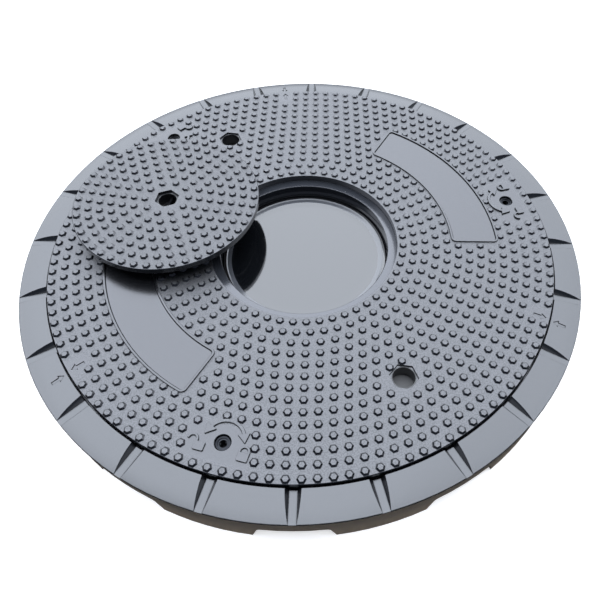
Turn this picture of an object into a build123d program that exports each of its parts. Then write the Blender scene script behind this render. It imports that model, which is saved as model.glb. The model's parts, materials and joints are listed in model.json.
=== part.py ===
from build123d import *
import os
from math import cos, sin, pi, radians, sqrt, hypot, atan

# Round watertight composite manhole cover with its frame, three quarter-turn
# locks, two lifting sockets and a small round access lid, which lies moved
# aside on top of the cover.  Millimetres, +Z up.  The origin is the centre of
# the frame's bottom face.  Angles are in degrees, anticlockwise from +X.

os.makedirs("parts", exist_ok=True)

# ---------------------------------------------------------------- dimensions
TOP = 84.0              # height of the cover's top face above the frame's base
BOND_GAP = 0.02         # radial gap round a bonded part

# frame
FRAME_R = 497.8         # outer edge of the domed rim
FRAME_DROP = 13.6       # how far that edge lies below the cover's top
RIM_BEVEL = 0.6         # width of the bevel at that edge
THROAT_R = 450.4        # throat around the cover
THROAT_Z = TOP - 4.8    # the throat's upper edge
RIM_MID = (475.0, 7.7)  # a point the rim's domed top passes through: radius, drop
SKIRT_R = 496.2         # outside of the skirt
LEDGE_R = 424.0         # clear opening of the seat ledge
LEDGE_Z = TOP - 50.0    # top of the seat ledge
LEDGE_T = 10.0          # thickness of the seat ledge
GROOVE_R0, GROOVE_R1 = 431.0, 445.0     # gasket groove in the ledge
GROOVE_Z = LEDGE_Z - 2  # its floor
GASKET_GAP = 0.3        # air on both sides of the gasket
CHANNELS = 24           # level channels across the rim
CHANNEL_W = 5.8         # half width of a channel's floor
CHANNEL_DRAFT = 0.66    # how its walls flare
NOTCHES = 12            # trapezoid notches in the skirt
NOTCH_H = 34.0
NOTCH_BOTTOM = 60.6     # half widths of a notch
NOTCH_TOP = 51.0
NOTCH_CORNER = 7.0

# cover
COVER_R = 447.8
PLATE_T = 15.0
SEAT_Z = TOP - 44.0     # underside of the cover's seating ring
RECESS_R = 170.0        # recess that takes the access lid
RECESS_LEDGE = 13.0
WELL_R = 153.0
WELL_LEDGE = 50.0
WELL_OPEN_R = 136.0
COVER_WEBS = 24
COVER_RIBS = [228.0, 286.0, 366.0]      # inner radii of the ring ribs

# tread studs: hexagonal frustums in rings
STUD_H = 3.0
STUD_ROOT = 0.4         # how far a stud reaches into the surface
STUD_BASE = 7.5         # corner radius at the surface
STUD_TOP = 4.5          # corner radius at the top
RING_R0 = 440.0
RING_STEP = 20.0
RINGS = [               # from outside in: number of studs, share of a pitch past +Y
    (124, 0.51), (118, 0.49), (112, 0.475), (106, 0.47), (100, 0.46),
    (94, 0.44), (88, 0.445), (82, 0.45), (76, 0.44), (70, 0.43),
    (64, 0.43), (58, 0.425), (56, 0.75), (52, 0.44),
]

# locks
LOCK_R = 400.0
LOCKS = [-105.0, 15.0, 135.0]
LOCK_HOLE_R = 12.1
LOCK_BORE_R = 10.0      # bore for the bush, below the lock hole
BUSH_TOP = TOP - 30
BOSS_BASE = TOP - 60
STOP_PINS = [(12.5, -13.7), (-13.7, 12.5)]      # local x, y
PIN_HOLE_R = 2.5
TONGUE_L = 46.0
TONGUE_Z0, TONGUE_Z1 = TOP - 72, TOP - 62
LOCK_CLEARING = 30      # studless field round a lock: its outer radial limit
LOCK_BANDS = [          # and its bands: radial start, tangential limits
    (12, -47, 49), (-8, -53, 44), (-28, -36, 40),
]

# lifting sockets
LIFT_R = 324.1
LIFTS = [-59.6, 120.4]
LIFT_BORE_R = 18.0
NECK_R = 19.5           # outside of a cup's neck, and of the lid's insert
CUP_R = 24.0
NECK_BASE = TOP - 9
LIFT_HEX_R = 23.5
HEX_DEPTH = 3.0
HEX_TURN = 52.0         # direction of a corner of the hexagonal recesses

# marking panels: start and end angle
PANELS = [(-0.5, 61.0), (179.5, 241.0)]
PANEL_R0, PANEL_R1 = 269.3, 354.7
PANEL_CORNER = 9.0
PANEL_BORDER = 3.0      # width of the raised border
PANEL_GROOVE = 1.3      # width of the groove inside it

# signs
ARROWS = [-142.5, -22.5, 97.5]  # alignment arrows
ARROW_DEPTH = 1.2
FRAME_ARROW_R = 465.0
SIGN_ROOT = 0.3         # how far raised signs reach into the plate
GLYPH_H = 2.8           # relief of the lock signs
CLOSED_Y = 35.3         # tangential places of the two padlock signs
OPEN_Y = -31.0
OPEN_SHIFT = -12.2      # sideways shift of the open shackle

# inner seal plate: its level floor turns up towards its lip
DISH_R, DISH_Z = 122.0, TOP - 43.0
DISH_END, DISH_RISE = 144.5, 1.8
SEAL_PLATE_Z = TOP - 47     # underside of its rim, on the gasket

# access lid; heights are from its top face
LID_R = 167.5
LID_T = 33.0
LID_FLANGE = 10.0
PLUG_R = 150.0
LID_AXIS = 20.95        # direction of the stud pattern's symmetry axis
LID_RINGS = [           # radius, number of studs, stud (0) or gap (1) on the axis
    (39.6, 10, 1), (59.6, 16, 0), (79.6, 22, 1), (99.6, 28, 0),
    (119.6, 34, 1), (139.6, 40, 0), (159.2, 46, 1),
]
BAR_DROP = 17.0         # depth of the lifting bar under the lid's top face
BAR_R = 4.0
ASIDE_R = 261.0         # how far the lid lies from its seat
ASIDE_DIR = 165.0
ASIDE_GAP = 0.3         # air between the lid's underside and the studs


# ------------------------------------------------------------------- helpers
def save(shape, name):
    solids = shape.solids()
    out = solids[0] if len(solids) == 1 else Compound(children=list(solids))
    out.label = name
    export_step(out, f"parts/{name}.step", write_pcurves=False)


def one(shape):
    return max(shape.solids(), key=lambda s: s.volume)


def rev(points):
    """Solid of revolution from (radius, height) points."""
    return revolve(make_face(Plane.XZ * Polyline(*points, close=True)), Axis.Z)


def cyl(x, y, z0, z1, radius):
    return Pos(x, y, (z0 + z1) / 2) * Cylinder(radius, z1 - z0)


def prism(points, z0, z1):
    """Upright prism over a closed plan polygon."""
    face = make_face(Plane.XY.offset(z0) * Polyline(*points, close=True))
    return extrude(face, z1 - z0, dir=(0, 0, 1))


def web(points, half):
    """Upright radial web along +X from (radius, height) points."""
    face = make_face(Plane.XZ * Polyline(*points, close=True))
    return one(extrude(face, half, both=True))


def radial_cutter(points, start, length):
    """Prism running outwards along +X from (y, height) points."""
    face = make_face(Plane.YZ.offset(start) * Polyline(*points, close=True))
    return one(extrude(face, length, dir=(1, 0, 0)))


def polar(radius, angle):
    return radius * cos(radians(angle)), radius * sin(radians(angle))


def arc(x, y, radius, start, end, steps):
    """Points along an arc, both ends included."""
    spokes = [polar(radius, start + (end - start) * i / steps) for i in range(steps + 1)]
    return [(x + dx, y + dy) for dx, dy in spokes]


def hexagon(x, y, radius, z0, z1, turn):
    return prism(arc(x, y, radius, turn, turn + 300, 5), z0, z1)


def at(radius, angle):
    """Location at a polar place whose local x points outwards."""
    return Location((*polar(radius, angle), 0), (0, 0, angle))


def around(shape, count, start=0):
    """Evenly turned copies about the Z axis."""
    return [Location((0, 0, 0), (0, 0, start + 360 * i / count)) * shape for i in range(count)]


def frustum(z0, radius0, z1, radius1):
    """Hexagonal frustum with a flat facing local +X."""
    low = [Vector(*polar(radius0, 30 + 60 * i), z0) for i in range(6)]
    high = [Vector(*polar(radius1, 30 + 60 * i), z1) for i in range(6)]
    loops = [low[::-1], high]
    for i in range(6):
        j = (i + 1) % 6
        loops.append([low[i], low[j], high[j], high[i]])
    return Solid(Shell([Face(Wire.make_polygon(loop, close=True)) for loop in loops]))


STUD_SLOPE = (STUD_BASE - STUD_TOP) / STUD_H
STUD = frustum(-STUD_ROOT, STUD_BASE + STUD_ROOT * STUD_SLOPE, STUD_H, STUD_TOP)


def stud_at(radius, angle, z):
    return Location((0, 0, z), (0, 0, angle)) * Location((radius, 0, 0)) * STUD


# --------------------------------------------------------------------- signs
# Local plan: x outwards from the cover's centre, y anticlockwise.
def turn_arrow():
    """Curved double headed arrow on the inner side of a lock."""
    x, y, half = -4.5, 1.0, 59.0
    # the band's ends touch the heads, and the outlines are joined there
    band = arc(x, y, 31.0, 180 - half, 180 + half, 16)
    band += arc(x, y, 26.8, 180 + half, 180 - half, 16)
    return [
        band,
        [(-22.8, 33.7), (-16.0, 17.8), (-6.2, 31.6)],
        [(-16.2, -15.6), (-22.8, -31.9), (-5.8, -29.8)],
    ]


def padlock(y, shift):
    """Plain padlock: body outwards, shackle inwards, shackle moved by shift."""
    body = [(7.6, y - 8.0), (18.9, y - 8.0), (20.2, y - 6.7),
            (20.2, y + 6.7), (18.9, y + 8.0), (7.6, y + 8.0)]
    x, leg_end, outer_r, inner_r = 5.6, 8.0, 8.2, 5.6
    middle = y + shift
    shackle = [(leg_end, middle + outer_r)] + arc(x, middle, outer_r, 90, 270, 12)
    if not shift:
        # closed: the second leg reaches the body too
        shackle += [(leg_end, middle - outer_r), (leg_end, middle - inner_r)]
    shackle += arc(x, middle, inner_r, 270, 90, 12) + [(leg_end, middle + inner_r)]
    return [body, shackle]


def straight_arrow(tail, tip):
    half, head_half, head_l = 2.6, 6.6, 9.0
    neck = tip - head_l if tip > tail else tip + head_l
    return [(tail, -half), (neck, -half), (neck, -head_half), (tip, 0.0),
            (neck, head_half), (neck, half), (tail, half)]


# ==================================================================== FRAME
def rim_circle():
    """Circle through the rim's throat edge, middle point and outer edge."""
    x1, y1 = THROAT_R, THROAT_Z
    x2, y2 = RIM_MID[0], TOP - RIM_MID[1]
    x3, y3 = FRAME_R, TOP - FRAME_DROP
    denom = 2 * (x1 * (y2 - y3) + x2 * (y3 - y1) + x3 * (y1 - y2))
    sq1, sq2, sq3 = x1 * x1 + y1 * y1, x2 * x2 + y2 * y2, x3 * x3 + y3 * y3
    x = (sq1 * (y2 - y3) + sq2 * (y3 - y1) + sq3 * (y1 - y2)) / denom
    y = (sq1 * (x3 - x2) + sq2 * (x1 - x3) + sq3 * (x2 - x1)) / denom
    return x, y, hypot(x1 - x, y1 - y)


def rim_height(radius):
    x, y, circle_r = rim_circle()
    return y + sqrt(circle_r * circle_r - (radius - x) ** 2)


def frame_section():
    """Ring of the frame, revolved."""
    edge = (FRAME_R - RIM_BEVEL, rim_height(FRAME_R - RIM_BEVEL))
    top = ThreePointArc((THROAT_R, THROAT_Z), (RIM_MID[0], TOP - RIM_MID[1]), edge)
    rest = Polyline(
        edge, (FRAME_R, edge[1] - 0.7), (FRAME_R, TOP - 20), (SKIRT_R, TOP - 20),
        (SKIRT_R, 0), (490, 0), (489, TOP - 27), (462, TOP - 21), (462, 0), (450, 0),
        (450, LEDGE_Z - LEDGE_T), (LEDGE_R, LEDGE_Z - LEDGE_T), (LEDGE_R, LEDGE_Z),
        (GROOVE_R0, LEDGE_Z), (GROOVE_R0, GROOVE_Z), (GROOVE_R1, GROOVE_Z),
        (GROOVE_R1, LEDGE_Z), (THROAT_R, LEDGE_Z), (THROAT_R, THROAT_Z),
    )
    return one(revolve(make_face(Plane.XZ * Curve([top, rest])), Axis.Z))


def notch_cutter():
    """Trapezoid with rounded upper corners."""
    side = atan((NOTCH_BOTTOM - NOTCH_TOP) / NOTCH_H)
    points = [(-NOTCH_BOTTOM - 0.3, -1.0)]
    for i in range(5):
        turn = (pi / 2 - side) * i / 4 + side
        points.append((-(NOTCH_TOP - NOTCH_CORNER * 0.75) - NOTCH_CORNER * cos(turn),
                       NOTCH_H - NOTCH_CORNER + NOTCH_CORNER * sin(turn)))
    points += [(-x, z) for x, z in points[::-1]]
    return radial_cutter(points, 470, 40)


def channel_cutter():
    """Level floor just below the rim's outer edge, flaring walls, both ends open."""
    low, high = TOP - 14.0, TOP + 2.0
    flare = CHANNEL_W + CHANNEL_DRAFT * (high - low)
    return radial_cutter(
        [(-CHANNEL_W, low), (CHANNEL_W, low), (flare, high), (-flare, high)], 440, 70)


def rim_arrow_cutter(angle):
    """Arrow pointing inwards, sunk square to the sloping rim."""
    rise = rim_height(FRAME_ARROW_R - 10) - rim_height(FRAME_ARROW_R + 10)
    fall = atan(rise / 20)
    cosa, sina = cos(radians(angle)), sin(radians(angle))
    plane = Plane(
        origin=(FRAME_ARROW_R * cosa, FRAME_ARROW_R * sina, rim_height(FRAME_ARROW_R)),
        x_dir=(cos(fall) * cosa, cos(fall) * sina, -sin(fall)),
        z_dir=(sin(fall) * cosa, sin(fall) * sina, cos(fall)))
    outline = Polyline(*straight_arrow(11.0, -10.5), close=True)
    face = make_face(plane.offset(-ARROW_DEPTH) * outline)
    return one(extrude(face, 4.0, dir=plane.z_dir))


def frame_ring():
    # short webs under the rim tie the throat wall to the skirt
    rim_web = web([(461, TOP - 20), (490.5, TOP - 25),
                   (490.5, NOTCH_H + 4), (461, NOTCH_H + 4)], 4)
    ring = frame_section().fuse(*around(rim_web, CHANNELS))
    cutters = around(notch_cutter(), NOTCHES) + around(channel_cutter(), CHANNELS)
    cutters += [rim_arrow_cutter(angle) for angle in ARROWS]
    return ring.cut(*cutters)


def frame_seat_gasket():
    inner, outer = GROOVE_R0 + GASKET_GAP, GROOVE_R1 - GASKET_GAP
    return rev([(inner, GROOVE_Z), (outer, GROOVE_Z), (outer, SEAT_Z - 1.6),
                (441.5, SEAT_Z - 0.2), (434.5, SEAT_Z - 0.2), (inner, SEAT_Z - 1.6)])


save(frame_ring(), "frame_ring")
save(frame_seat_gasket(), "frame_seat_gasket")


# ==================================================================== COVER
def local_place(x, y, angle):
    """Radial and tangential coordinates seen along a direction."""
    cosa, sina = cos(radians(angle)), sin(radians(angle))
    return x * cosa + y * sina, -x * sina + y * cosa


def lift_distance(x, y, lift):
    lift_x, lift_y = polar(LIFT_R, lift)
    return hypot(x - lift_x, y - lift_y)


def keep_stud(radius, angle):
    """False where a marking, a lock, an arrow or a socket takes the stud's place."""
    x, y = polar(radius, angle)
    for lock in LOCKS:
        radial, across = local_place(x, y, lock)
        if radial - LOCK_R >= LOCK_CLEARING:
            continue
        for start, low, high in LOCK_BANDS:
            if radial - LOCK_R > start:
                if low < across < high:
                    return False
                break
    if any(lift_distance(x, y, lift) < 25.0 for lift in LIFTS):
        return False
    for arrow in ARROWS:
        radial, across = local_place(x, y, arrow)
        if radial > 430 and -13 < across < 17:
            return False
        if 430 > radial > 410 and -11 < across < 12:
            return False
    for start, end in PANELS:
        middle, half = (start + end) / 2 - 0.25, (end - start) / 2 - 0.75
        off = abs((angle - middle + 180) % 360 - 180)
        if PANEL_R0 - 9 < radius < PANEL_R1 + 5:
            # inside the panel's angle, or within 9 mm of its straight sides
            if off < half or radius * sin(radians(off - half)) < 9:
                return False
    return True


def cover_body():
    """Plate with its seating ring and well, webs, ring ribs and bosses."""
    body = rev([
        (RECESS_R, TOP), (COVER_R - 1.0, TOP), (COVER_R, TOP - 1.0),
        (COVER_R, SEAT_Z + 1.5), (COVER_R - 1.5, SEAT_Z), (428, SEAT_Z), (427, SEAT_Z + 1),
        (427, TOP - PLATE_T), (178, TOP - PLATE_T), (178, TOP - 22), (160, TOP - 22),
        (160, TOP - 57), (WELL_OPEN_R, TOP - 57), (WELL_OPEN_R, TOP - WELL_LEDGE),
        (WELL_R, TOP - WELL_LEDGE), (WELL_R, TOP - RECESS_LEDGE - 1.2),
        (WELL_R + 1.2, TOP - RECESS_LEDGE), (RECESS_R, TOP - RECESS_LEDGE),
    ])
    root = TOP - 14     # webs, ribs and bosses start inside the plate
    cover_web = web([(158, root), (428, root), (428, SEAT_Z + 2), (419, SEAT_Z + 2),
                     (404, TOP - 56), (158, TOP - 56)], 3)
    adds = around(cover_web, COVER_WEBS, 180 / COVER_WEBS)
    for rib in COVER_RIBS:
        adds.append(one(rev([(rib, root), (rib + 6, root), (rib + 6, TOP - 48),
                             (rib, TOP - 48)])))
    adds += [one(at(LOCK_R, lock) * cyl(0, 0, BOSS_BASE, root, 22.0)) for lock in LOCKS]
    adds += [one(at(LIFT_R, lift) * cyl(0, 0, TOP - 42, root, 29.0)) for lift in LIFTS]
    return body.fuse(*adds)


def panel_band(start, end, inset, width):
    """Plan of a closed band that follows a panel's edge, moved in by inset."""
    return (panel_sector(start, end, inset)
            - panel_sector(start, end, inset + width))


def panel_sector(start, end, inset):
    """Annular sector with rounded corners, every side moved in by inset."""
    middle = radians((start + end) / 2)
    half = radians((end - start) / 2)
    far = 900.0
    tip_r = inset / sin(half)
    tip = (tip_r * cos(middle), tip_r * sin(middle))
    ends = [(tip[0] + far * cos(side), tip[1] + far * sin(side))
            for side in (middle - half, middle + half)]
    wedge = make_face(Polyline(tip, *ends, close=True))
    ring = Circle(PANEL_R1 - inset) - Circle(PANEL_R0 + inset)
    face = ring & wedge
    return fillet(face.vertices(), PANEL_CORNER - inset)


def cover_cuts():
    cuts = []
    for lock in LOCKS:
        loc = at(LOCK_R, lock)
        cuts.append(one(loc * rev([
            (0, TOP + 1), (LOCK_HOLE_R + 0.8, TOP + 1), (LOCK_HOLE_R + 0.8, TOP),
            (LOCK_HOLE_R, TOP - 0.8), (LOCK_HOLE_R, BUSH_TOP), (LOCK_BORE_R, BUSH_TOP),
            (LOCK_BORE_R, BOSS_BASE - 1), (0, BOSS_BASE - 1)])))
        for x, y in STOP_PINS:
            cuts.append(one(loc * cyl(x, y, BOSS_BASE - 1, TOP - 46, PIN_HOLE_R)))
    for lift in LIFTS:
        x, y = polar(LIFT_R, lift)
        cuts.append(one(hexagon(x, y, LIFT_HEX_R, TOP - HEX_DEPTH, TOP + 1, HEX_TURN)))
        cuts.append(one(cyl(x, y, NECK_BASE, TOP + 1, NECK_R + BOND_GAP)))
        cuts.append(one(cyl(x, y, TOP - 43, NECK_BASE, CUP_R + BOND_GAP)))
    for arrow in ARROWS:
        outline = straight_arrow(420.0, 442.0)
        cuts.append(one(at(0, arrow) * prism(outline, TOP - ARROW_DEPTH, TOP + 1)))
    for start, end in PANELS:
        groove = panel_band(start, end, PANEL_BORDER, PANEL_GROOVE)
        cuts.append(one(extrude(Plane.XY.offset(TOP - 1.0) * groove, 3.0)))
    return cuts


def cover_reliefs():
    """Raised panel borders and lock signs."""
    reliefs = []
    for start, end in PANELS:
        border = panel_band(start, end, 0.0, PANEL_BORDER)
        reliefs.append(one(extrude(Plane.XY.offset(TOP - SIGN_ROOT) * border, 2.5)))
    for lock in LOCKS:
        for group in (turn_arrow(), padlock(CLOSED_Y, 0.0), padlock(OPEN_Y, OPEN_SHIFT)):
            first, *others = [one(prism(outline, TOP - SIGN_ROOT, TOP + GLYPH_H))
                              for outline in group]
            sign = first
            for other in others:
                sign = sign.fuse(other)
            reliefs += [at(LOCK_R, lock) * solid for solid in sign.solids()]
    return reliefs


def cover_studs():
    """Rings of studs; those beside a lifting socket are trimmed to its hexagon."""
    studs = []
    for k, (count, share) in enumerate(RINGS):
        radius = RING_R0 - RING_STEP * k
        for j in range(count):
            angle = 90 + (j + share) * 360 / count
            if not keep_stud(radius, angle):
                continue
            stud = stud_at(radius, angle, TOP)
            for lift in LIFTS:
                if lift_distance(*polar(radius, angle), lift) < 32:
                    x, y = polar(LIFT_R, lift)
                    stud = one(stud.cut(one(
                        hexagon(x, y, LIFT_HEX_R, TOP - 5, TOP + 5, HEX_TURN))))
            studs.append(stud)
    return studs


def lock_bush():
    outer = LOCK_BORE_R - BOND_GAP
    return rev([(7.06, BUSH_TOP), (outer, BUSH_TOP), (outer, BOSS_BASE), (7.06, BOSS_BASE)])


def lifting_cup():
    """Cup bonded in from below, undercut for the lifting key's toe."""
    return rev([
        (LIFT_BORE_R, TOP - HEX_DEPTH), (NECK_R, TOP - HEX_DEPTH), (NECK_R, NECK_BASE),
        (CUP_R, NECK_BASE), (CUP_R, TOP - 42), (0, TOP - 42), (0, TOP - 32),
        (21, TOP - 32), (21, TOP - 24), (LIFT_BORE_R, TOP - 24)])


save(cover_body().cut(*cover_cuts()).fuse(*cover_reliefs(), *cover_studs()), "cover_plate")

# bushes bonded in the lock bosses, and the pins that stop each lock at both ends
save(Compound(children=[one(at(LOCK_R, lock) * lock_bush()) for lock in LOCKS]),
     "lock_bushes")
save(Compound(children=[
    one(at(LOCK_R, lock) * cyl(x, y, TOP - 70, TOP - 47, PIN_HOLE_R - BOND_GAP))
    for lock in LOCKS for x, y in STOP_PINS]), "lock_stop_pins")
save(Compound(children=[one(at(LIFT_R, lift) * lifting_cup()) for lift in LIFTS]),
     "lifting_sockets")


# ========================================================= INNER SEAL PLATE
def inner_seal_plate():
    bend_r = ((DISH_END - DISH_R) ** 2 + DISH_RISE ** 2) / (2 * DISH_RISE)
    middle = (DISH_R + DISH_END) / 2
    middle_z = DISH_Z + bend_r - sqrt(bend_r ** 2 - (middle - DISH_R) ** 2)
    lip = (DISH_END, DISH_Z + DISH_RISE)
    dish = ThreePointArc((DISH_R, DISH_Z), (middle, middle_z), lip)
    rest = Polyline(
        lip, (146.2, TOP - 40), (150.4, TOP - 40), (151.6, TOP - 41.2),
        (151.6, SEAL_PLATE_Z), (133, SEAL_PLATE_Z), (132, TOP - 55), (127, TOP - 55),
        (127, TOP - 46.5), (0, TOP - 46.5), (0, DISH_Z), (DISH_R, DISH_Z))
    return revolve(make_face(Plane.XZ * Curve([dish, rest])), Axis.Z)


def inner_plate_gasket():
    return rev([(137.5, TOP - 49.9), (150.5, TOP - 49.9), (151.0, TOP - 49.2),
                (151.0, SEAL_PLATE_Z), (137.0, SEAL_PLATE_Z), (137.0, TOP - 49.2)])


save(inner_seal_plate(), "inner_seal_plate")
save(inner_plate_gasket(), "inner_plate_gasket")


# ==================================================================== LOCKS
# Each part is built about the Z axis and then moved to its lock.
def lock_bolt():
    bolt = rev([
        (0, TOP - 24), (5.8, TOP - 24), (5.8, TOP - 5.2), (8.6, TOP - 5.2),
        (8.6, TOP - 3.6), (10.9, TOP - 3.6), (11.7, TOP - 4.4), (11.7, TOP - 20.1),
        (8.9, TOP - 20.1), (8.9, TOP - 23.9), (11.7, TOP - 23.9), (11.7, TOP - 29.8),
        (7.0, TOP - 29.8), (7.0, TOP - 62), (0, TOP - 62)])
    # three keys in the socket give the operating key its grip
    for key in around(one(Pos(5.3, 0, TOP - 15.5) * Box(2.0, 3.2, 13.0)), 3, 30):
        bolt = bolt.fuse(key)
    bolt = bolt.fuse(one(Pos(0, 0, TOP - 67) * Box(9.8, 9.8, 10.0)))
    bolt = bolt.fuse(one(cyl(0, 0, TOP - 82, TOP - 71, 4.5)))
    return one(bolt)


def lock_o_ring():
    return Pos(0, 0, TOP - 22) * Torus(10.5, 1.52)


def lock_thrust_washer():
    return rev([(7.3, TOP - 60.05), (13, TOP - 60.05), (13, TOP - 61.95),
                (7.3, TOP - 61.95)])


def lock_tongue():
    """Rests along the cover's edge and swings out under the frame's ledge."""
    arm = prism([(-11, 0), (11, 0), (11, 38), (9, TONGUE_L - 1.5), (6.5, TONGUE_L),
                 (-6.5, TONGUE_L), (-9, TONGUE_L - 1.5), (-11, 38)], TONGUE_Z0, TONGUE_Z1)
    tongue = cyl(0, 0, TONGUE_Z0, TONGUE_Z1, 15.0).fuse(one(arm))
    # sloping cut in the top, shallower towards the tip
    slope = one(Pos(0, TONGUE_L, TONGUE_Z1) * Rot(12, 0, 0) * Box(40, 26, 5))
    tongue = one(tongue.cut(slope))
    return one(tongue.cut(one(Pos(0, 0, TOP - 67) * Box(9.9, 9.9, 12))))


def lock_nut():
    bore = 4.55
    flange = rev([(bore, TOP - 72.05), (9.5, TOP - 72.05), (9.5, TOP - 73.5),
                  (bore, TOP - 73.5)])
    nut = flange.fuse(one(hexagon(0, 0, 7.5, TOP - 79.5, TOP - 73.4, 0)))
    return one(nut.cut(one(cyl(0, 0, TOP - 80, TOP - 72, bore))))


for n, lock in enumerate(LOCKS, 1):
    for build in (lock_bolt, lock_o_ring, lock_thrust_washer, lock_tongue, lock_nut):
        save(at(LOCK_R, lock) * build(), f"{build.__name__}_{n}")


# =============================================================== ACCESS LID
# Built with the centre of its top face at the origin, then moved aside.
def bar(radius, half):
    """Level bar across the way the lid travels."""
    turn = Rot(0, 0, ASIDE_DIR - 90.0) * Rot(0, 90, 0)
    return Pos(0, 0, -BAR_DROP) * turn * Cylinder(radius, 2 * half)


def access_lid():
    body = rev([
        (0, 0), (LID_R - 0.9, 0), (LID_R, -0.9), (LID_R, -LID_FLANGE),
        (PLUG_R, -LID_FLANGE), (PLUG_R - 1.5, -LID_T), (139, -LID_T), (139, -13),
        (36, -13), (36, -LID_T), (0, -LID_T)])
    lid_web = web([(34, -12), (141, -12), (141, -30), (34, -30)], 2.5)
    rib = one(rev([(88, -12), (93, -12), (93, -28), (88, -28)]))
    body = body.fuse(*around(lid_web, 12, LID_AXIS + 15), rib)
    body = body.cut(one(hexagon(0, 0, 22.5, -8, 1, LID_AXIS)),
                    one(cyl(0, 0, -29, -7, NECK_R + BOND_GAP)))
    studs = [stud_at(radius, LID_AXIS + (j + gap / 2) * 360 / count, 0)
             for radius, count, gap in LID_RINGS for j in range(count)]
    return one(body.fuse(*studs))


def lid_socket_insert():
    insert = hexagon(0, 0, 22.3, -8, -5, LID_AXIS).fuse(one(cyl(0, 0, -28.9, -7.5, NECK_R)))
    return one(insert.cut(one(cyl(0, 0, -26, 0, 16.5)), one(bar(BAR_R + 0.05, 30))))


def access_lid_seal():
    """Bonded under the flange; in use it lands on the ledge of the cover's recess."""
    return rev([(155.5, -LID_FLANGE), (166.0, -LID_FLANGE), (166.0, -12.0),
                (163.5, -12.85), (158.0, -12.85), (155.5, -12.0)])


lid_at = Pos(*polar(ASIDE_R, ASIDE_DIR), TOP + STUD_H + ASIDE_GAP + LID_T)
save(lid_at * access_lid(), "access_lid")
save(lid_at * lid_socket_insert(), "lid_socket_insert")
save(lid_at * bar(BAR_R, 18.9), "lid_lifting_bar")
save(lid_at * access_lid_seal(), "access_lid_seal")
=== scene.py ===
import json
import math
from functools import cached_property

import bpy
import bmesh
from mathutils import Matrix, Vector

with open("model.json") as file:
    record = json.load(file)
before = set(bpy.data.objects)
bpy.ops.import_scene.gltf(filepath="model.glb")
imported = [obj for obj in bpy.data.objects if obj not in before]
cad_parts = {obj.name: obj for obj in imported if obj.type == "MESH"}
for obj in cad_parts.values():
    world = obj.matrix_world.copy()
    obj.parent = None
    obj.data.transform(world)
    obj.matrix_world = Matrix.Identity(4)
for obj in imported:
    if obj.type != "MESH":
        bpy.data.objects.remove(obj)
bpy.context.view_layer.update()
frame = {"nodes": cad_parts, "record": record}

# ---------------------------------------------------------------- sizes the finishes follow
COVER_TOP = 0.084               # height of the cover's top face
COVER_RADIUS = 0.4478
RECESS_RADIUS = 0.170           # round recess in the middle of the cover
LEDGE_INNER = (0.1536, 0.1546)  # soft inner edge of the ledge in the recess
LID_CENTRE = (-0.2521066, 0.0675518)
LID_TOP = COVER_TOP + 0.0363
LID_RADIUS = 0.1675

# Two smooth marking panels, alike under a half turn
PANEL_INNER = (0.2691, 0.2700)
PANEL_OUTER = (0.3549, 0.3540)
PANEL_LEAD = math.radians(0.5)    # the first panel starts this far before +X
PANEL_SPAN = math.radians(61.5)

# Three locks and three arrows, alike under a third of a turn
THIRD = 2 * math.pi / 3
SECTOR_ORIGIN = 0.0             # radius that outward distances start from
LOCK_ANGLE = 15.0               # degrees from +X
LOCK_RADIUS = 0.400
ARROW_ANGLE = 97.5

# ---------------------------------------------------------------- colours and reflection
DARK = (0.0040, 0.0046, 0.0058)
LESS_DARK = (0.0080, 0.0087, 0.0100)
SPECK = (0.020, 0.021, 0.023)
DUST = (0.090, 0.084, 0.078)
# colour of the pale specks: chips and dust, partly painted glints off the grit
FLECK_AND_GLINT = (0.22, 0.22, 0.22)
COVER_IOR = 1.935
COVER_TINT = (0.957, 0.962, 1.0)
CREASE_SHADE_ROUGH = 0.55               # roughness of the painted shade in the inner corners
CREASE_SHADE_LEVEL = 0.06               # and its specular level, kept low so that those corners come out dark
CREASE_SHADE_SHARE = 0.8                # how far the painted shade takes over the roughness


# ---------------------------------------------------------------- shader node helpers
class Value:
    """A node output. Arithmetic on it adds Math nodes."""

    def __init__(self, net, socket):
        self.net = net
        self.socket = socket

    def __add__(self, other):
        return self.net.calc("ADD", self, other)

    def __radd__(self, other):
        return self.net.calc("ADD", other, self)

    def __sub__(self, other):
        return self.net.calc("SUBTRACT", self, other)

    def __rsub__(self, other):
        return self.net.calc("SUBTRACT", other, self)

    def __mul__(self, other):
        return self.net.calc("MULTIPLY", self, other)

    def __truediv__(self, other):
        return self.net.calc("DIVIDE", self, other)

    def step(self, start, end):
        """Smooth 0 to 1 as the value goes from start to end; a number may start above end."""
        falling = isinstance(start, float) and start > end
        low, high = (end, start) if falling else (start, end)
        rise = self.net.add("MapRange", {"Value": self, "From Min": low, "From Max": high},
                            interpolation_type="SMOOTHSTEP")
        return 1.0 - rise if falling else rise

    def band(self, rise, fall):
        """1 between two soft edges, each given as (start, end)."""
        return self.step(*rise) * self.step(*fall)

    def mix(self, off, on):
        """The number off where this is 0, on where it is 1."""
        return self.net.add("Mix", {0: self, 2: off, 3: on}, data_type="FLOAT")

    def mix_colour(self, off, on):
        return self.net.add("Mix", {0: self, 6: off, 7: on}, output=2, data_type="RGBA")


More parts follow.
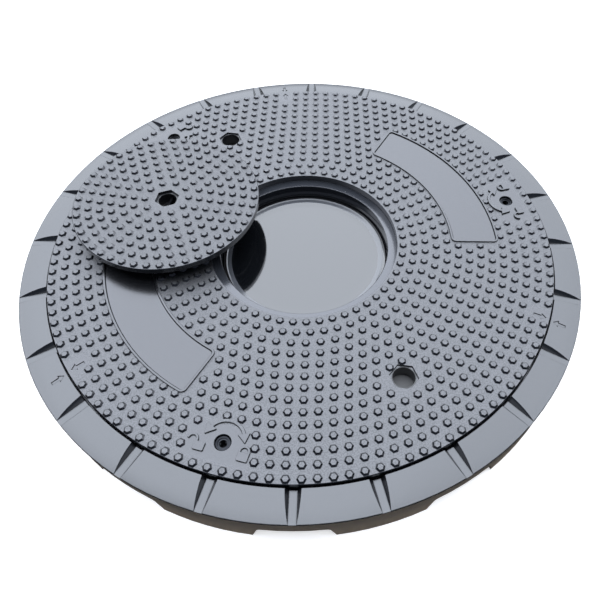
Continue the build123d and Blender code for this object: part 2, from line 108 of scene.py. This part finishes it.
class Net:
    """A node tree, emptied and ready to be filled."""

    def __init__(self, tree):
        self.tree = tree
        tree.nodes.clear()

    def put(self, socket, value):
        """Links or sets an input; None leaves it alone and a colour gets its alpha."""
        if isinstance(value, Value):
            self.tree.links.new(value.socket, socket)
        elif value is not None:
            if socket.type == "RGBA":
                value = (*value, 1.0)
            socket.default_value = value

    def add(self, kind, inputs={}, output=0, **settings):
        """Adds a node and returns one output, or a list where output is a tuple."""
        node = self.tree.nodes.new("ShaderNode" + kind)
        for name, value in settings.items():
            setattr(node, name, value)
        for key, value in inputs.items():
            self.put(node.inputs[key], value)
        if isinstance(output, tuple):
            return [Value(self, node.outputs[key]) for key in output]
        return Value(self, node.outputs[output])

    def finish(self, kind, shader):
        self.put(self.tree.nodes.new("ShaderNodeOutput" + kind).inputs[0], shader)

    def calc(self, operation, *operands):
        return self.add("Math", dict(enumerate(operands)), operation=operation)

    def length(self, x, y):
        return self.calc("SQRT", x * x + y * y)

    def split(self, vector):
        return self.add("SeparateXYZ", {0: vector}, output=(0, 1, 2))


class Surface(Net):
    """A new material with a Principled shader, worked out in the piece's own frame."""

    def __init__(self, name):
        self.material = bpy.data.materials.new(name)
        self.material.use_nodes = True
        super().__init__(self.material.node_tree)
        shader = self.add("BsdfPrincipled")
        self.inputs = shader.socket.node.inputs
        self.finish("Material", shader)

    @cached_property
    def place(self):
        return self.add("TexCoord", output="Object")

    @cached_property
    def xyz(self):
        return self.split(self.place)

    @cached_property
    def radius(self):
        return self.length(*self.xyz[:2])

    @cached_property
    def facing_up(self):
        """Z of the face normal, in the piece's frame so that finishes move with it."""
        normal = self.add("NewGeometry", output="True Normal")
        return self.split(self.add("VectorTransform", {0: normal}, vector_type="NORMAL",
                                   convert_from="WORLD", convert_to="OBJECT"))[2]

    @cached_property
    def clouds(self):
        """Slow variation of the moulding, about -1 to 1."""
        wide = self.noise(scale=7.0, detail=3.0, rough=0.55)
        close = self.noise(scale=42.0, detail=3.0, rough=0.6)
        return wide * 1.2 + close * 0.8 - 1.0

    def noise(self, scale, detail, rough, stretch=None):
        vector = self.place
        if stretch:
            vector = self.add("VectorMath", {0: vector, 1: stretch}, operation="MULTIPLY")
        return self.add("TexNoise", {"Vector": vector, "Scale": scale, "Detail": detail,
                                     "Roughness": rough})

    def cells(self, scale):
        return self.add("TexVoronoi", {"Vector": self.place, "Scale": scale}, output="Distance")

    def bump(self, height, distance, strength, normal):
        return self.add("Bump", {"Strength": strength, "Distance": distance,
                                 "Height": height, "Normal": normal})

    def rounded(self, radius):
        """Normal with the edges rounded off."""
        return self.add("Bevel", {"Radius": radius}, samples=6)

    def crease(self, distance):
        """1 in tight inner corners, 0 in the open, from ambient occlusion; it drives the
        painted shade in creases.
        """
        openness = self.add("AmbientOcclusion", {"Distance": distance}, output="AO", samples=6)
        return openness.step(start=0.90, end=0.60)

    def shade(self, values):
        for name, value in values.items():
            self.put(self.inputs[name], value)

    def sheen(self, base, rough, ior, normal, level=0.5, tint=(1.0, 1.0, 1.0)):
        self.shade({"Specular Tint": tint, "Base Color": base, "Roughness": rough,
                    "IOR": ior, "Specular IOR Level": level, "Normal": normal})


# ---------------------------------------------------------------- moulded composite
def grain(net):
    """Height of the moulded grit, in parts of 1."""
    coarse = net.noise(scale=620.0, detail=2.0, rough=0.6)
    fine = net.noise(scale=1500.0, detail=1.0, rough=0.5)
    return coarse * 0.55 + (fine * 0.25 + net.cells(scale=520.0) * 0.35)


def flecks_and_glints(net):
    """A few tiny pale specks: chips and dust grains, and partly painted glints off the grit."""
    chips_and_glints = net.cells(scale=74.0).step(start=0.060, end=0.035)
    return chips_and_glints * net.noise(scale=23.0, detail=1.0, rough=0.5).step(start=0.66, end=0.70)


def clouded_base(net):
    return ((net.clouds * 0.5 + 0.5) * 0.6).mix_colour(off=DARK, on=LESS_DARK)


def top_face(net, height):
    """1 on level faces at the given height."""
    at_top = net.xyz[2].step(start=height - 0.0011, end=height - 0.0009)
    return at_top * net.facing_up.step(start=0.80, end=0.93)


def moulded(net, grit, smooth_rough, edge, fleck_amount=1.0, tilt=None, grain_share=1.0,
            ior=COVER_IOR, dull=None):
    """Dark moulded composite.

    grit: where the fine moulded texture is; smooth_rough: roughness away from it;
    edge: rounding radius; worn: amount of the pale specks, partly chips and partly painted
    glints; tilt: (height, where) of a false slope;
    grain_share: strength of the grey mottle in the grit; dull: where the colour is greyer.
    """
    level_face = net.facing_up.step(start=0.80, end=0.95)
    height = grain(net)
    fine = net.noise(scale=260.0, detail=3.0, rough=0.6)
    normal = net.bump(fine, distance=0.00005, strength=0.35, normal=net.rounded(edge))
    if tilt is not None:
        normal = net.bump(tilt[0], distance=1.0, strength=tilt[1], normal=normal)
    normal = net.bump(height, distance=0.00095, strength=grit, normal=normal)

    speck = height.step(start=0.52, end=0.70) * (grit * 0.5)
    base = speck.mix_colour(off=clouded_base(net), on=SPECK)
    mottle = net.noise(scale=430.0, detail=1.0, rough=0.5).step(start=0.38, end=0.62)
    base = (mottle * (grit * grain_share)).mix_colour(off=base, on=(0.046, 0.047, 0.049))
    dust = level_face * fine.step(start=0.45, end=0.75) * 0.10
    base = dust.mix_colour(off=base, on=DUST)
    if dull is not None:
        base = dull.mix_colour(off=base, on=(0.034, 0.037, 0.044))
    # pale specks on level faces: chips and dust grains, partly painted glints off the grit
    chips_and_glints = flecks_and_glints(net) * level_face * fleck_amount
    base = chips_and_glints.mix_colour(off=base, on=FLECK_AND_GLINT)

    rough = grit.mix(off=smooth_rough, on=0.30) + net.clouds * 0.02
    rough = chips_and_glints.mix(off=rough, on=0.6)
    # painted shade: ambient occlusion in the inner corners at the feet of studs and ridges
    # raises the roughness and lowers the specular level, darkening them
    crease_shade = net.crease(distance=0.0018)
    rough = (crease_shade * CREASE_SHADE_SHARE).mix(off=rough, on=CREASE_SHADE_ROUGH)
    net.sheen(base, rough, ior, normal, level=crease_shade.mix(off=0.5, on=CREASE_SHADE_LEVEL), tint=COVER_TINT)


def marking_panels(net, angle):
    """The smooth sectors, bounded by two straight sides and two arcs."""
    radius = net.radius
    turn = net.calc("FLOORED_MODULO", angle + PANEL_LEAD, math.pi)
    side = net.calc("MINIMUM", radius * net.calc("SINE", turn),
                    radius * net.calc("SINE", PANEL_SPAN - turn))
    return side.step(start=0.0002, end=0.0010) * radius.band(PANEL_INNER, PANEL_OUTER)


def sector(net, angle, degrees):
    """Distance outwards along, and sideways from, the nearest of three rays."""
    turn = net.calc("FLOORED_MODULO", angle + (-math.radians(degrees) + THIRD / 2), THIRD)
    turn = turn - THIRD / 2
    return (net.radius * net.calc("COSINE", turn) - SECTOR_ORIGIN,
            net.radius * net.calc("SINE", turn))


def cover_composite(net):
    radius = net.radius
    angle = net.calc("ARCTAN2", net.xyz[1], net.xyz[0])
    field = radius.band(rise=(RECESS_RADIUS, RECESS_RADIUS + 0.001),
                        fall=(COVER_RADIUS, COVER_RADIUS - 0.001))
    panel = marking_panels(net, angle)
    outward, sideways = sector(net, angle, LOCK_ANGLE)
    outward = outward - LOCK_RADIUS
    lock = (outward.band(rise=(-0.034, -0.020), fall=(0.036, 0.022))
            * sideways.band(rise=(-0.064, -0.048), fall=(0.054, 0.040)))
    outward, sideways = sector(net, angle, ARROW_ANGLE)
    arrow = (outward.step(start=0.412, end=0.420)
             * sideways.band(rise=(-0.020, -0.012), fall=(0.020, 0.012)))
    # locks and arrows keep a little of the grit
    smooth = net.calc("MAXIMUM", panel, net.calc("MAXIMUM", lock * 0.85, arrow * 0.6))
    grit = top_face(net, COVER_TOP) * field * (1.0 - smooth)

    # the ledge in the recess is duller than the outside and falls a little outwards
    ledge = radius.step(start=RECESS_RADIUS + 0.0006, end=RECESS_RADIUS)
    ledge = ledge * radius.step(*LEDGE_INNER)
    ledge = ledge * net.facing_up.step(start=0.80, end=0.93)
    wall = radius.step(start=RECESS_RADIUS + 0.0006, end=RECESS_RADIUS + 0.0002)
    wall = wall * net.facing_up.step(start=0.5, end=0.2)
    # the edges in the recess are rounder than those of the studs
    in_recess = radius.step(start=RECESS_RADIUS + 0.004, end=RECESS_RADIUS + 0.002)
    rough = ledge.mix(off=panel.mix(off=0.20, on=0.22), on=0.21)
    moulded(net, grit, smooth_rough=wall.mix(off=rough, on=0.11),
            edge=in_recess.mix(off=0.00025, on=0.0009), fleck_amount=1.0 - panel,
            tilt=(radius * -0.13, ledge), dull=ledge * 0.9 + wall * 0.25)


def lid_composite(net):
    # the lid rests level and travels level, so its own top is where z is highest
    radius = net.length(net.xyz[0] - LID_CENTRE[0], net.xyz[1] - LID_CENTRE[1])
    inside = radius.step(start=LID_RADIUS - 0.0006, end=LID_RADIUS - 0.0016)
    moulded(net, grit=top_face(net, LID_TOP) * inside, smooth_rough=0.20, edge=0.00025,
            grain_share=0.85, ior=1.89)


def frame_composite(net):
    z = net.xyz[2]
    level_face = net.facing_up.step(start=0.5, end=0.9)
    fine = net.noise(scale=240.0, detail=3.0, rough=0.6)
    wave = net.noise(scale=18.0, detail=2.0, rough=0.5)
    normal = net.bump(fine, distance=0.00006, strength=0.4, normal=net.rounded(0.0010))
    normal = net.bump(wave, distance=0.0010, strength=0.25, normal=normal)

    # dust lies on the skirt, lowest part thickest
    skirt = (net.radius.step(start=0.488, end=0.494)
             * z.step(start=COVER_TOP - 0.014, end=COVER_TOP - 0.019))
    foot = z.step(start=0.050, end=0.0)
    mottled = net.noise(scale=95.0, detail=4.0, rough=0.65)
    dusty = skirt * (0.55 + (foot + (mottled - 0.5)) * 0.45)
    thin_dust = level_face * fine.step(start=0.5, end=0.8) * 0.10
    base = thin_dust.mix_colour(off=clouded_base(net), on=DUST)
    base = dusty.mix_colour(off=base, on=(0.222, 0.174, 0.122))
    # pale specks on level faces: chips and dust grains, partly painted glints off the grit
    base = (flecks_and_glints(net) * level_face).mix_colour(off=base, on=FLECK_AND_GLINT)

    rough = dusty.mix(off=0.20, on=0.62) + net.clouds * 0.025
    # painted shade: ambient occlusion darkens the inner corners by raising roughness and
    # lowering the specular level, except where the skirt is dusty
    crease_shade = net.crease(distance=0.0028) * (1.0 - dusty)
    rough = (crease_shade * CREASE_SHADE_SHARE).mix(off=rough, on=CREASE_SHADE_ROUGH)
    level = crease_shade.mix(off=dusty.mix(off=0.5, on=0.15), on=CREASE_SHADE_LEVEL)
    net.sheen(base, rough, ior=1.955, normal=normal, level=level, tint=(0.965, 0.975, 1.0))


# ---------------------------------------------------------------- other finishes
def plate_plastic(net):
    radius = net.radius
    wave = net.noise(scale=14.0, detail=1.0, rough=0.4)
    normal = net.bump(wave, distance=0.0006, strength=0.18, normal=net.rounded(0.0008))
    # a false slope just inside the pale band near the rim
    band = radius.band(rise=(0.1366, 0.1372), fall=(0.1468, 0.1462))
    slope = radius.band(rise=(0.1290, 0.1345), fall=(0.1380, 0.1372))
    normal = net.bump(radius * 0.075, distance=1.0, strength=slope, normal=normal)

    streak = net.noise(scale=60.0, detail=4.0, rough=0.65, stretch=(1.0, 3.0, 1.0))
    base = (streak.step(start=0.52, end=0.75) * 0.18).mix_colour(off=DARK, on=SPECK)
    base = (radius.step(start=0.138, end=0.1455) * 0.12).mix_colour(off=base, on=DUST)
    base = band.mix_colour(off=base, on=(0.080, 0.084, 0.094))
    rough = 0.06 + (streak.step(start=0.55, end=0.8) * 0.05 + net.clouds * 0.01)
    net.sheen(base, band.mix(off=rough, on=0.15), ior=2.0, normal=normal,
              level=band.mix(off=0.5, on=0.40))


def socket_composite(net):
    fine = net.noise(scale=300.0, detail=3.0, rough=0.6)
    normal = net.bump(fine, distance=0.00008, strength=0.5, normal=net.rounded(0.0005))
    base = (net.clouds * 0.4 + 0.4).mix_colour(off=DARK, on=LESS_DARK)
    # grey silt on the floor of the sockets
    silt = (net.facing_up.step(start=0.80, end=0.95)
            * net.xyz[2].step(start=COVER_TOP - 0.0310, end=COVER_TOP - 0.0316))
    base = silt.mix_colour(off=base, on=(0.158, 0.157, 0.156))
    net.sheen(base, silt.mix(off=0.34 + net.clouds * 0.04, on=0.70), ior=1.7,
              normal=normal, level=silt.mix(off=0.5, on=0.2))


def seal_rubber(net):
    dust = net.noise(scale=180.0, detail=4.0, rough=0.65).step(start=0.45, end=0.8)
    fine = net.noise(scale=700.0, detail=3.0, rough=0.6)
    normal = net.bump(fine, distance=0.00006, strength=0.6, normal=net.rounded(0.0004))
    base = (dust * 0.35).mix_colour(off=(0.006, 0.006, 0.0065), on=(0.035, 0.033, 0.031))
    net.sheen(base, 0.55 + net.clouds * 0.05, ior=1.5, normal=normal)


def metal(net, light, dark, rough):
    brush = net.noise(scale=420.0, detail=3.0, rough=0.6, stretch=(1.0, 1.0, 22.0))
    patch = net.noise(scale=60.0, detail=4.0, rough=0.6)
    net.shade({
        "Base Color": patch.step(start=0.35, end=0.72).mix_colour(off=light, on=dark),
        "Metallic": 1.0,
        "Roughness": rough + (brush * 0.5 + patch * 0.5 - 0.5) * 0.25,
        "Normal": net.bump(brush, distance=0.00003, strength=0.5, normal=net.rounded(0.0004)),
    })


# name: light colour, dark colour, roughness
METALS = {
    "stainless": ((0.56, 0.56, 0.57), (0.42, 0.42, 0.43), 0.32),
    "lock_steel": ((0.033, 0.035, 0.039), (0.018, 0.019, 0.022), 0.42),
    "bar_steel": ((0.010, 0.010, 0.011), (0.005, 0.005, 0.006), 0.55),
    "bush_brass": ((0.60, 0.45, 0.22), (0.38, 0.27, 0.13), 0.38),
}
# pieces whose finish differs from their material slot
OWN_FINISH = {"access_lid": "lid_composite", "lid_lifting_bar": "bar_steel"}

finishes = {}
for build in (cover_composite, lid_composite, frame_composite, plate_plastic,
              socket_composite, seal_rubber):
    net = Surface(build.__name__)
    build(net)
    finishes[build.__name__] = net.material
for name, look in METALS.items():
    net = Surface(name)
    metal(net, *look)
    finishes[name] = net.material

slots = {part["node"]: part["material_slot"] for part in frame["record"]["subparts"]}
for name, piece in frame["nodes"].items():
    piece.data.materials.clear()
    piece.data.materials.append(finishes[OWN_FINISH.get(name, slots[name])])


# ---------------------------------------------------------------- floor
def floor_material():
    """Pale to the camera and in scattered light, dark in reflections on the pieces' sides."""
    net = Surface("floor")
    tone = net.noise(scale=3.0, detail=3.0, rough=0.5)
    pale = tone.mix_colour(off=(0.74, 0.72, 0.70), on=(0.78, 0.76, 0.74))
    camera, diffuse = net.add("LightPath", output=("Is Camera Ray", "Is Diffuse Ray"))
    seen = net.calc("MAXIMUM", camera, diffuse)
    net.shade({
        "Base Color": seen.mix_colour(off=(0.030, 0.029, 0.028), on=pale),
        "Emission Color": (1.0, 0.995, 0.985),
        "Emission Strength": camera * 0.55,
        "Roughness": 0.8,
        "Specular IOR Level": 0.1,
    })
    return net.material


def build_floor():
    grid = bmesh.new()
    bmesh.ops.create_grid(grid, x_segments=8, y_segments=8, size=14.0)
    mesh = bpy.data.meshes.new("floor")
    grid.to_mesh(mesh)
    grid.free()
    floor = bpy.data.objects.new("floor", mesh)
    floor.location = (0, 0, -0.0002)    # just clear of the frame's foot
    bpy.context.scene.collection.objects.link(floor)
    mesh.materials.append(floor_material())


# ---------------------------------------------------------------- soft light
SKY_COLOUR = tuple(3.6 * share for share in (0.935, 1.0, 1.107))    # brightness times tint
DIM_COLOUR = (0.088, 0.105, 0.142)      # below the bright part of the sky
BACKDROP = (1.05, 1.05, 1.05)           # what the camera sees directly


def build_world():
    """A bright sky beyond the object as the camera sees it, from whichever side that is."""
    world = bpy.data.worlds.new("studio")
    bpy.context.scene.world = world
    world.use_nodes = True
    net = Net(world.node_tree)
    x, y, z = net.split(net.add("TexCoord", output="Generated"))
    elevation = net.calc("ARCSINE", z) * (180 / math.pi)

    # level unit vector along the camera's view
    heading = net.add("VectorTransform", {0: (0.0, 1.0, 1.0)}, vector_type="VECTOR",
                      convert_from="CAMERA", convert_to="WORLD")
    head_x, head_y, _ = net.split(heading)
    length = net.calc("MAXIMUM", net.length(head_x, head_y), 0.001)
    head_x = head_x / length
    head_y = head_y / length
    along = x * head_x + y * head_y
    side = x * head_y - y * head_x      # positive to the camera's right

    # the bright sky starts high behind the camera and low beyond the object, in degrees
    away = along.step(start=-0.55, end=0.55)
    bright = elevation.step(start=away.mix(off=56.0, on=-6.0), end=away.mix(off=80.0, on=14.0))
    # dimmer towards the horizon, and a little dimmer on the right
    level = net.add("MapRange", {"Value": elevation, "From Min": -5.0, "From Max": 45.0,
                                 "To Min": 0.58, "To Max": 1.0})
    level = level * (1.0 - side.step(start=0.10, end=0.36) * 0.10)
    sky = bright.mix_colour(off=DIM_COLOUR,
                            on=level.mix_colour(off=(0.0, 0.0, 0.0), on=SKY_COLOUR))
    direct = net.add("LightPath", output="Is Camera Ray")
    colour = direct.mix_colour(off=sky, on=BACKDROP)
    net.finish("World", net.add("Background", {"Color": colour, "Strength": 1.0}))


# ---------------------------------------------------------------- camera
CAMERA_PLACE = (0.0571295, -0.7081187, 0.8842743)
CAMERA_RIGHT = Vector((0.9998899, -0.0049044, 0.0140027))
CAMERA_UP = Vector((-0.0041722, 0.8127567, 0.5825883))
CAMERA_BACK = Vector((-0.0142380, -0.5825826, 0.8126468))


def build_camera():
    lens = bpy.data.cameras.new("camera")
    camera = bpy.data.objects.new("camera", lens)
    bpy.context.scene.collection.objects.link(camera)
    bpy.context.scene.camera = camera
    lens.sensor_width = 36.0            # millimetres, as is the focal length
    lens.sensor_fit = "HORIZONTAL"
    lens.lens = 34.984992
    lens.shift_x = -0.07270367          # in parts of the picture's width
    turn = Matrix((CAMERA_RIGHT, CAMERA_UP, CAMERA_BACK)).transposed().to_4x4()
    camera.matrix_world = Matrix.Translation(CAMERA_PLACE) @ turn
    lens.clip_start = 0.01
    lens.clip_end = 60.0


build_floor()
build_world()
build_camera()

view = bpy.context.scene.view_settings
view.view_transform = "Standard"
view.look = "None"
view.exposure = 0.0
view.gamma = 1.0
